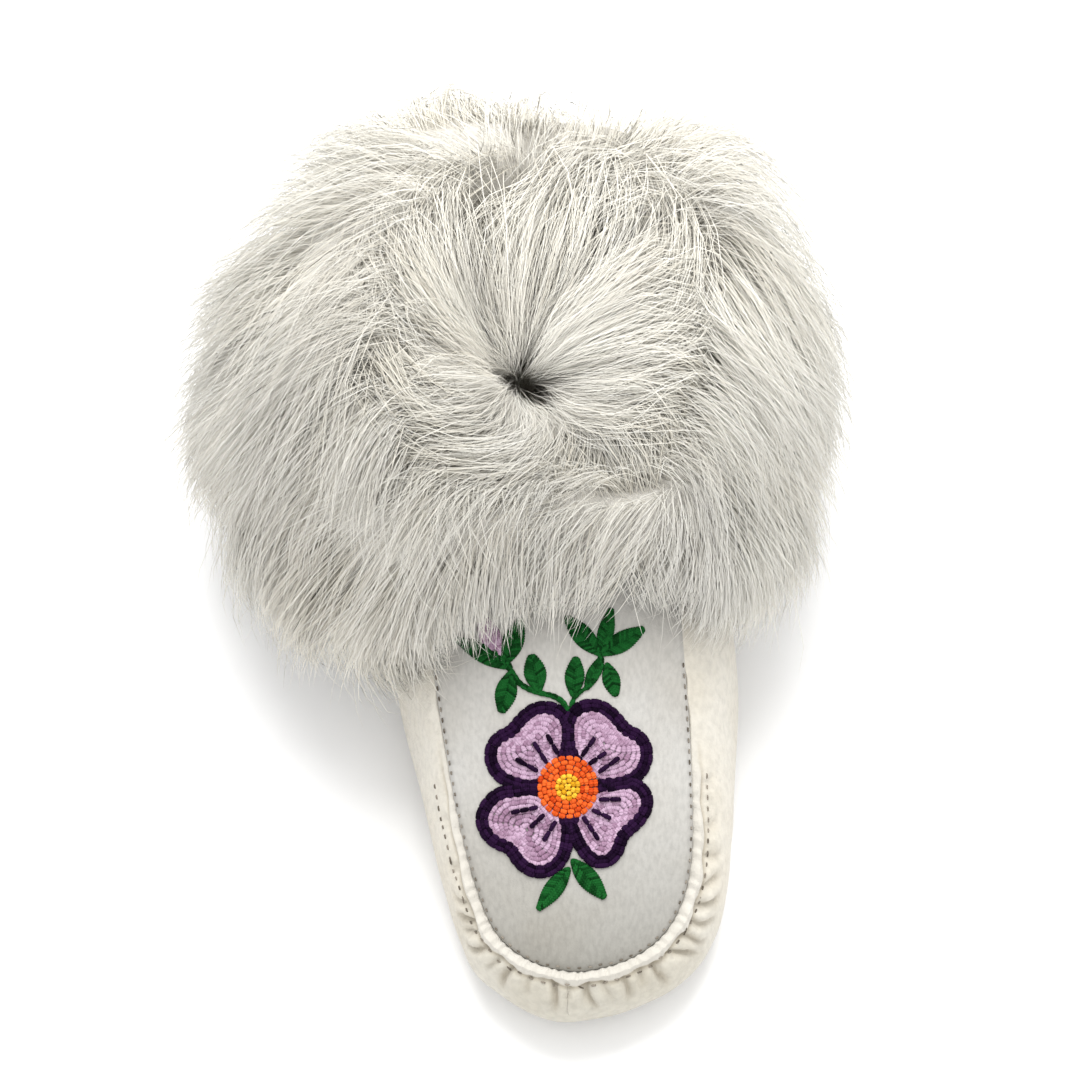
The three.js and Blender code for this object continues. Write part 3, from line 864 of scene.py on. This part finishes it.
furShape = {
    "collarAt": 183, "halfWidth": 36, "halfLength": 60, "squareness": 2.5,
    # every 45 degrees from the toe round the outer side: reach, crest, hem, sag, overhang
    "sections": [(13, 100, 50, 4, 18), (48, 104, 32, 14, 12), (72, 109, 30, 18, 14), (56, 113, 30, 14, 12),
                 (27, 118, 30, 8, 20), (36, 113, 30, 12, 12), (38, 109, 30, 16, 14), (30, 104, 36, 10, 12)],
    # how much fuller the loose hair stands: reach, crest
    "fuller": [(1, 1), (2, 2), (4, 2), (3, 7), (-2, 8), (4, 9), (2, 3), (2, 2)],
    # slow swells in the fur: waves round, waves over, start, mm off the fur
    "swells": [(3, 0, 0.9, 1.2), (7, 1, 2.2, 1.3), (5, 3, 1.3, 1.2)],
}
# voxel sizes in metres, lift off the fur's form in mm: all over, at the crest, inside
underfurShape = {
    "grid": (160, 64), "voxel": 0.003, "lastVoxel": 0.0036, "lift": (-8, 3.5, 6.5), "streak": (0.07, 0.045),
}
hairs = {
    "count": 35000, "locks": 1900, "tries": 14, "levels": (0.0, 0.3, 0.55, 0.8, 1.0), "seed": 20,
    # sizes in mm
    "radius": 0.155, "long": 48, "depth": 12, "stand": (0.0, 6.0), "spread": 5.0, "gatherAtTip": 0.42,
    # the fur's lower edge in degrees over the fur, how far it rises over the vamp's outer side, how ragged
    # it is, and where hair has its roots
    "hem": -78, "frontHem": -9, "frontTurn": 0.04, "outerRise": 22, "ragged": 7, "roots": (-64, 178),
    # tufts that the locks fall into: how many, half-width, roundness and height in mm, own lean, drawn
    # together at the tip, share of the hair's length
    "tufts": 110, "tuftHalf": 18, "tuftRound": 5.5, "tuftHigh": (-2.5, 3.5),
    "tuftLean": 0.34, "tuftGather": 0.22, "tuftLong": (0.88, 1.1),
    # spreads: how far locks lean, how long they and the hairs in them are, how near inner hair comes to the
    # slit, how thick hairs are
    "lean": (0.65, 1.0), "lockLong": (0.8, 1.15), "hairLong": (0.75, 1.12), "toSlit": (0.6, 1.06),
    "thick": (0.7, 1.3), "taper": 0.7, "tuftTone": 0.07,
    # hair parts along the crest: degrees over the fur every 45 degrees round, how far that wanders, how
    # mixed it is
    "parting": [150, 98, 97, 110, 130, 116, 101, 128], "wander": 14, "mixed": 22,
    "partingLocks": (0.9, 1.3),  # how many more locks there, and over the vamp
    "stray": 0.14, "strayHigh": 9, "guard": 0.07,  # shares of stray and dark-tipped hair
    "whorl": 1.3,  # how far hair by the parting is combed along it, towards the toe
    # hair is shaded in part as one round form about this middle, in mm
    "formMiddle": (0, 58, 45), "formShare": 0.6,
    "frontDrift": 0.4,  # the hair over the vamp is combed towards the outer side
    # in metres: how near hair comes to vamp, hide and floor, and how far those reach in x, y and z
    "offCloth": 0.0012, "offFloor": 0.004, "cloth": (0.053, 0.128, 0.078),
}
# the slit left where the hair closes over the opening
slit = {"middle": (-15, 50), "way": (0.7, -0.714), "half": (3.8, 12.5), "high": 84, "innerPuff": 6.0,
        "funnel": (-24, 72), "funnelHalf": (10, 15), "funnelDeep": 15}  # a hollow runs from it to the heel


def furSection(turn, full):
    table, more = np.array(furShape["sections"], float), np.zeros((8, 5))
    more[:, :2] = furShape["fuller"]
    t = np.mod(turn, 2 * np.pi) / (np.pi / 4)
    i = np.floor(t).astype(int)
    f = (t - i)[..., None]
    p0, p1, p2, p3 = ((table + full * more)[(i + k) % 8] for k in (-1, 0, 1, 2))
    return np.moveaxis(splinePoint(p0, p1, p2, p3, f), -1, 0)


def furPoint(turn, place, full=0.0):
    reach, crest, hem, sag, overhang = furSection(turn, full)
    power = 2 / furShape["squareness"]
    bend = lambda v: np.sign(v) * np.abs(v) ** power
    out = (reach - overhang) / 2 + (reach + overhang) / 2 * np.cos(place)
    high = (crest + hem) / 2 + (crest - hem) / 2 * np.sin(place) - sag * np.maximum(out / reach, 0) ** 2
    high = np.maximum(high, hem / 2)
    x = -furShape["halfWidth"] * bend(np.sin(turn)) - np.sin(turn) * out
    middle = furShape["collarAt"] - hideShape["length"] / 2
    y = middle - furShape["halfLength"] * bend(np.cos(turn)) - np.cos(turn) * out
    return np.stack([x, y, high], -1)


def furFrame(turn, place, full=0.0):
    # point, steps per radian round and along the section, and the way off the fur
    spot = furPoint(turn, place, full)
    step = 0.02
    across = (furPoint(turn + step, place, full) - furPoint(turn - step, place, full)) / (2 * step)
    along = (furPoint(turn, place + step, full) - furPoint(turn, place - step, full)) / (2 * step)
    off = unit(np.cross(along, across))
    return spot, np.linalg.norm(across, axis=-1), np.linalg.norm(along, axis=-1), off


def swell(turn, place):
    wave = 0
    for waves, over, start, high in furShape["swells"]:
        wave = wave + high * np.sin(waves * turn + over * place + start)
    return wave * smoothStep(np.cos(place), -0.9, 0.2)


def makeUnderfur():
    # the cuff's solid with its locks drawn in to the body of the fur
    piece = copyNode("fur_cuff", "underfur")
    applyModifier(piece, "REMESH", mode="VOXEL", voxel_size=underfurShape["voxel"])
    around, over = underfurShape["grid"]
    rounds = [2 * np.pi * np.arange(n) / n for n in (around, over)]
    turn, place = (grid.ravel() for grid in np.meshgrid(*rounds, indexing="ij"))
    spot, _, _, off = furFrame(turn, place)
    inner = 1 - smoothStep(np.cos(place), -0.95, -0.3)
    crest = smoothStep(np.sin(place), 0.6, 0.95)
    allOver, atCrest, inside = underfurShape["lift"]
    lift = allOver + atCrest * crest + inside * inner + swell(turn, place)
    body = (spot + off * lift[:, None]) * mm
    ids = np.arange(around * over).reshape(around, over)
    across, ahead = np.roll(ids, -1, 0), np.roll(ids, -1, 1)
    quads = np.stack([ids, across, np.roll(across, -1, 1), ahead], -1).reshape(-1, 4)
    tree = BVHTree.FromPolygons(body.tolist(), quads.tolist())

    def nearest(points):
        found = [tree.find_nearest(Vector(p)) for p in points]
        return np.array([f[0] for f in found]), quads[[f[2] for f in found], 0]

    points = getPoints(piece)
    close, cell = nearest(points)
    outside = ((points - close) * off[cell]).sum(1) > 0
    points[outside] = close[outside]
    setPoints(piece, points)
    applyModifier(piece, "REMESH", mode="VOXEL", voxel_size=underfurShape["lastVoxel"])
    applyModifier(piece, "SMOOTH", factor=0.5, iterations=3)
    bpy.ops.object.shade_smooth()
    _, cell = nearest(getPoints(piece))
    wide, long = underfurShape["streak"]
    t, p = turn[cell], place[cell]
    way = np.stack([wide * np.cos(t), wide * np.sin(t), long * p], 1)
    comb = piece.data.attributes.new("comb", "FLOAT_VECTOR", "POINT")
    comb.data.foreach_set("vector", way.astype(np.float32).ravel())
    return dress(piece, underfurMaterial(), "fur_cuff")


def gatherTufts(turn, place, perTurn, perPlace, rng):
    # the tuft that each lock falls into, and the lock's place in it in mm
    seeds = rng.permutation(len(turn))[:hairs["tufts"]]
    away = np.stack([
        (np.mod(turn[:, None] - turn[seeds] + np.pi, 2 * np.pi) - np.pi) * perTurn[:, None],
        (place[:, None] - place[seeds]) * perPlace[:, None],
    ], -1)
    tuft = np.linalg.norm(away, axis=-1).argmin(1)
    return seeds, tuft, away[np.arange(len(turn)), tuft]


def combHair():
    rng = np.random.default_rng(hairs["seed"])
    # lock roots, spread evenly over the fur's surface down to its hem
    tries = hairs["locks"] * hairs["tries"]
    turn, place = rng.random(tries) * 2 * np.pi, np.radians(rng.uniform(*hairs["roots"], tries))
    front = smoothStep(np.cos(turn + hairs["frontTurn"]), 0.62, 0.88)
    frontHem = hairs["frontHem"] + hairs["outerRise"] * smoothStep(np.sin(turn), 0.1, 0.4)
    hem = hairs["hem"] + (frontHem - hairs["hem"]) * front
    hem = np.radians(hem + rng.normal(0, hairs["ragged"], tries))
    _, perTurn, perPlace, _ = furFrame(turn, place, 1.0)
    parting = np.interp(np.degrees(turn), range(0, 361, 45), [*hairs["parting"], hairs["parting"][0]])
    parting = np.radians(parting)
    nearParting = np.exp(-((place - parting) / 0.35) ** 2)
    more, moreFront = hairs["partingLocks"]
    weight = perTurn * perPlace * (place > hem + 0.2) * (1 + (more + moreFront * front) * nearParting)
    kept = np.where(rng.random(tries) < weight / np.percentile(weight, 97))[0][:hairs["locks"]]
    turn, place, hem, front, locks = turn[kept], place[kept], hem[kept], front[kept], len(kept)
    parting, nearParting = parting[kept], nearParting[kept]
    perTurn, perPlace = np.maximum(perTurn[kept], 20), np.maximum(perPlace[kept], 28)
    seeds, tuft, inTuft = gatherTufts(turn, place, perTurn, perPlace, rng)
    tuftLean = rng.normal(0, hairs["tuftLean"], len(seeds))
    tuftHigh = rng.uniform(*hairs["tuftHigh"], len(seeds))
    tuftTone = rng.normal(0, hairs["tuftTone"], len(seeds))
    tuftLong = rng.uniform(*hairs["tuftLong"], len(seeds))
    lockBow = rng.normal(0, 0.12, locks)
    # combed out or in from a parting that wanders along the crest, with some locks fallen across it
    parting += np.radians(rng.normal(0, hairs["wander"], len(seeds)))[tuft]
    besideFoot = smoothStep(-np.cos(turn), -0.65, 0.0)
    mixed = np.radians(hairs["mixed"] * (2 - besideFoot))
    inward = rng.random(locks) < 1 / (1 + np.exp((parting - place) / mixed))
    # how far each lock is combed round the cuff
    swirl = -0.45 * np.sin(turn) * smoothStep(np.cos(turn), -0.95, -0.2)
    swirl += 0.2 * np.sin(4 * turn - 2 * place + 1.1) + tuftLean[tuft] + rng.normal(0, 0.16, locks)
    swirl = swirl * (1 - 0.4 * front) + hairs["frontDrift"] * front * smoothStep(place, 0.4, 1.9)
    alongParting = 0.4 * smoothStep(-np.cos(turn), 0.5, 1.0) - np.sin(turn) * besideFoot
    swirl += hairs["whorl"] * nearParting * alongParting
    lean = rng.uniform(*hairs["lean"], locks) * (1 - 0.4 * nearParting)
    long = hairs["long"] * rng.uniform(*hairs["lockLong"], locks) * (1 - 0.2 * front) * tuftLong[tuft]
    rounded = hairs["tuftRound"] * (1 - np.clip((inTuft**2).sum(1) / hairs["tuftHalf"] ** 2, 0, 1.4))
    stand = rng.uniform(*hairs["stand"], locks) + rounded + tuftHigh[tuft] + 3 * nearParting
    stand *= 1 - 0.6 * front  # flat on the vamp
    lockTone = rng.random(locks)
    # hairs in the locks
    count = hairs["count"]
    k = rng.integers(0, locks, count)
    offTurn = rng.normal(0, hairs["spread"], count) / perTurn[k]
    offPlace = rng.normal(0, hairs["spread"], count) / perPlace[k]
    stray = rng.random(count) < hairs["stray"]
    hairLong = long[k] * rng.uniform(*hairs["hairLong"], count)
    run = np.maximum(-lean[k] * hairLong / perPlace[k], np.minimum(hem[k] - place[k], -0.1))
    hairStand = stand[k] + rng.normal(0, 2.0, count)
    hairStand += np.where(stray, rng.uniform(0, hairs["strayHigh"], count), 0)
    curl = rng.normal(0, 1, (count, 3))
    # by the parting hair stands up before it falls over
    rise, start = 1.6 + 3.0 * nearParting[k], 1 + 0.6 * nearParting[k]
    lines = []
    for s in hairs["levels"]:
        together = 1 - np.where(stray, 0.0, hairs["gatherAtTip"]) * s
        drawn = inTuft[k] * hairs["tuftGather"] * s
        goneRound = (swirl[k] * hairLong * 0.55 * s - drawn[:, 0]) / perTurn[k]
        goneOver = run * s**start * (1.1 - 0.1 * s) - drawn[:, 1] / perPlace[k]
        turnS = turn[k] + offTurn * together + goneRound
        placeS = place[k] + offPlace * together + goneOver
        spot, _, _, off = furFrame(turnS, placeS, float(smoothStep(s, 0.0, 0.5)))
        lift = -hairs["depth"] * (1 - s) ** rise + hairStand * s**1.25 + swell(turnS, placeS)
        lines.append(spot + off * lift[:, None] + curl * (0.8 + 1.2 * s) * s)
    lines = np.stack(lines, 1)
    inside = np.where(inward[k])[0]
    bow = 0.12 + 0.5 * tuftLean[tuft] + lockBow + 0.35 * nearParting * np.sin(turn)
    bow = bow[k[inside]] + rng.normal(0, 0.07, len(inside))
    limit = rng.uniform(*hairs["toSlit"], len(inside))
    lines[inside] = combIn(
        turn[k[inside]] + offTurn[inside], place[k[inside]] + offPlace[inside], hairLong[inside],
        0.6 * hairStand[inside], bow, limit, rise[inside], start[inside], curl[inside],
    )
    lines *= mm
    keepOff(lines)
    patch = 0.5 + 0.25 * np.sin(3 * turn + 2 * place + 0.5) + 0.25 * np.sin(5 * turn - 3 * place + 2)
    # hair whose tip ends higher is made lighter: painted light on the top of the fur
    high = smoothStep(lines[:, -1, 2], 0.02, 0.085)
    tone = 0.25 * lockTone[k] + 0.3 * rng.random(count) + 0.12 * patch[k] + 0.2 * high + tuftTone[tuft[k]]
    tone -= 0.1 * (inward[k] & (lines[:, 0, 0] < 0))  # painted shade: the outer side's inner hair, down by the opening, is made duller
    tone = np.clip(tone, 0, 0.895)
    guard = rng.random(count) < hairs["guard"]
    tone[guard] = rng.uniform(0.93, 1.0, guard.sum())
    order = np.argsort(np.mod(turn[k] + offTurn + np.pi / 4, 2 * np.pi))
    return lines[order], tone[order]


def combIn(turn, place, long, stand, bow, limit, rise, start, curl):
    # hair from inside the parting, laid over the opening towards the slit and down into it
    root, _, _, off = furFrame(turn, place)
    middle, way = np.array(slit["middle"]), np.array(slit["way"])
    side = np.array([-way[1], way[0]])
    away = root[:, :2] - middle
    toRim = np.stack([away @ side, away @ way], 1) / slit["half"]
    toRim *= np.array(slit["half"]) / np.linalg.norm(toRim, axis=1)[:, None]
    rim = middle + toRim[:, :1] * side + toRim[:, 1:] * way
    gap = root[:, :2] - rim
    far = np.linalg.norm(gap, axis=1)
    across = np.stack([-gap[:, 1], gap[:, 0]], 1)
    reach = np.minimum(long / far, limit)
    stand = np.maximum(stand, 0) + slit["innerPuff"] * smoothStep(root[:, 0], 0, 25)
    lines = []
    for s in hairs["levels"]:
        gone = reach * s**start
        left = 1 - gone
        flat = rim + gap * left[:, None] + across * (bow * np.sin(np.pi * np.clip(gone, 0, 1)))[:, None]
        high = slit["high"] + (root[:, 2] - slit["high"]) * (1 - (1 - left) ** 2)
        high += stand * np.sin(0.85 * np.pi * s) - 1.5 * far * np.maximum(-left, 0)
        hollow = np.exp(-(((flat - slit["funnel"]) / slit["funnelHalf"]) ** 2).sum(1))
        high -= slit["funnelDeep"] * hollow
        spot = np.concatenate([flat, high[:, None]], 1)
        lines.append(spot - off * (hairs["depth"] * (1 - s) ** rise)[:, None] + curl * (0.6 + 0.6 * s) * s)
    return np.stack(lines, 1)


def keepOff(lines):
    # lay hair on the vamp and the hide where it meets them, and off the floor
    solid = [nodes["vamp"], nodes["sole_and_sides"]]
    points = [v.co for o in solid for v in o.data.vertices]
    shift = len(solid[0].data.vertices)
    faces = [tuple(p.vertices) for p in solid[0].data.polygons]
    faces += [tuple(i + shift for i in p.vertices) for p in solid[1].data.polygons]
    tree = BVHTree.FromPolygons(points, faces)
    flat = lines.reshape(-1, 3)
    wide, back, top = hairs["cloth"]
    near = (np.abs(flat[:, 0]) < wide) & (flat[:, 1] < back) & (flat[:, 2] < top)
    for i in np.where(near)[0]:
        x, y, z = flat[i]
        spot, _, _, _ = fall(tree, x, y)
        if spot is not None and spot.z > 0.008 and z < spot.z + hairs["offCloth"]:
            flat[i, 2] = spot.z + hairs["offCloth"]
    flat[:, 2] = np.maximum(flat[:, 2], hairs["offFloor"])


def hairPiece(name, lines, tone, material):
    count, levels = lines.shape[:2]
    rng = np.random.default_rng(len(name))
    ahead = unit(np.gradient(lines, axis=1))
    side = unit(np.cross(ahead, rng.normal(0, 1, (count, 1, 3))))
    other = np.cross(ahead, side)
    taper = 1 - hairs["taper"] * np.array(hairs["levels"]) ** 1.5
    thick = rng.uniform(*hairs["thick"], (count, 1))
    rings = []
    for level in range(levels - 1):
        radius = hairs["radius"] * mm * taper[level] * thick
        for corner in range(3):
            spin = 2 * np.pi * corner / 3
            way = math.cos(spin) * side[:, level] + math.sin(spin) * other[:, level]
            rings.append(lines[:, level] + radius * way)
    rings.append(lines[:, -1])
    points = np.stack(rings, 1)
    pattern = [(0, 2, 1)] + tubeFaces(3, levels - 1, 0)
    along = np.concatenate([np.repeat(hairs["levels"][:-1], 3), [1.0]])
    piece = manyPiece(name, points, pattern, tone, np.tile(along, (count, 1)))
    # hair takes part of its shading from the fur's rounded form, which softens it
    own = np.empty(points.size, np.float32)
    piece.data.vertices.foreach_get("normal", own)
    form = unit(points.reshape(-1, 3) - np.array(hairs["formMiddle"]) * mm)
    soft = unit(own.reshape(-1, 3) * (1 - hairs["formShare"]) + form * hairs["formShare"])
    piece.data.normals_split_custom_set_from_vertices(soft.tolist())
    return dress(piece, material)


underfur = makeUnderfur()
print("underfur made:", len(underfur.data.polygons), "faces")
lines, tone = combHair()
strandLook = strandMaterial()
quarters = ("fur_hair_front", "fur_hair_outer", "fur_hair_heel", "fur_hair_inner")
for i, name in enumerate(quarters):
    part = slice(i * len(lines) // len(quarters), (i + 1) * len(lines) // len(quarters))
    hairPiece(name, lines[part], tone[part], strandLook)
print("hair made:", len(lines))


# floor, light and camera

studio = {
    "distance": 1.05, "frame": 0.335, "middle": (-0.008, 0.141), "sensor": 36, "floor": 8.0,
    "floorTone": 0.97, "bounces": 2,
    # place, aim, size, power
    "softbox_over": ((-0.05, 0.9, 1.6), (0, 0.05, 0.05), 1.4, 35),
    "softbox_front": ((0.5, -1.4, 1.4), (0, 0, 0.05), 1.2, 4.5),
    "worldLight": 0.98,
}


def makeFloor():
    deselectAll()
    bpy.ops.mesh.primitive_plane_add(size=studio["floor"], location=(0, 0, 0))
    floor = bpy.context.object
    floor.name = "floor"
    material, _, shader = newMaterial("pale_floor", 0.7, specular=0.2)
    shader.inputs["Base Color"].default_value = (*grey(studio["floorTone"]), 1)
    floor.data.materials.append(material)


def addLight(name, place, aim, size, power):
    light = bpy.data.lights.new(name, "AREA")
    light.shape = "DISK"
    light.size = size
    light.energy = power
    lamp = putIn(name, light)
    lamp.location = place
    lamp.rotation_euler = (Vector(aim) - Vector(place)).to_track_quat("-Z", "Y").to_euler()


def makeStudio():
    scene = bpy.context.scene
    makeFloor()
    for name in ("softbox_over", "softbox_front"):
        addLight(name, *studio[name])
    world = bpy.data.worlds.new("studio")
    world.use_nodes = True
    background = world.node_tree.nodes["Background"]
    background.inputs["Color"].default_value = (1, 1, 1, 1)
    background.inputs["Strength"].default_value = studio["worldLight"]
    scene.world = world
    scene.view_settings.view_transform = "Standard"
    # keeps the dense hair quick to render
    scene.cycles.diffuse_bounces = studio["bounces"]
    scene.cycles.debug_use_spatial_splits = True
    lens = bpy.data.cameras.new("camera")
    camera = putIn("camera", lens)
    side, up = studio["middle"]
    aim = np.array([side, 0, 0]) + viewUp * (lowestView * mm + up) + toCamera * 0.01
    camera.location = aim + toCamera * studio["distance"]
    camera.rotation_euler = Vector(-toCamera).to_track_quat("-Z", "Y").to_euler()
    lens.sensor_width = studio["sensor"]
    lens.lens = studio["sensor"] * studio["distance"] / studio["frame"]
    lens.clip_end = 50
    scene.camera = camera


makeStudio()
print("studio made")
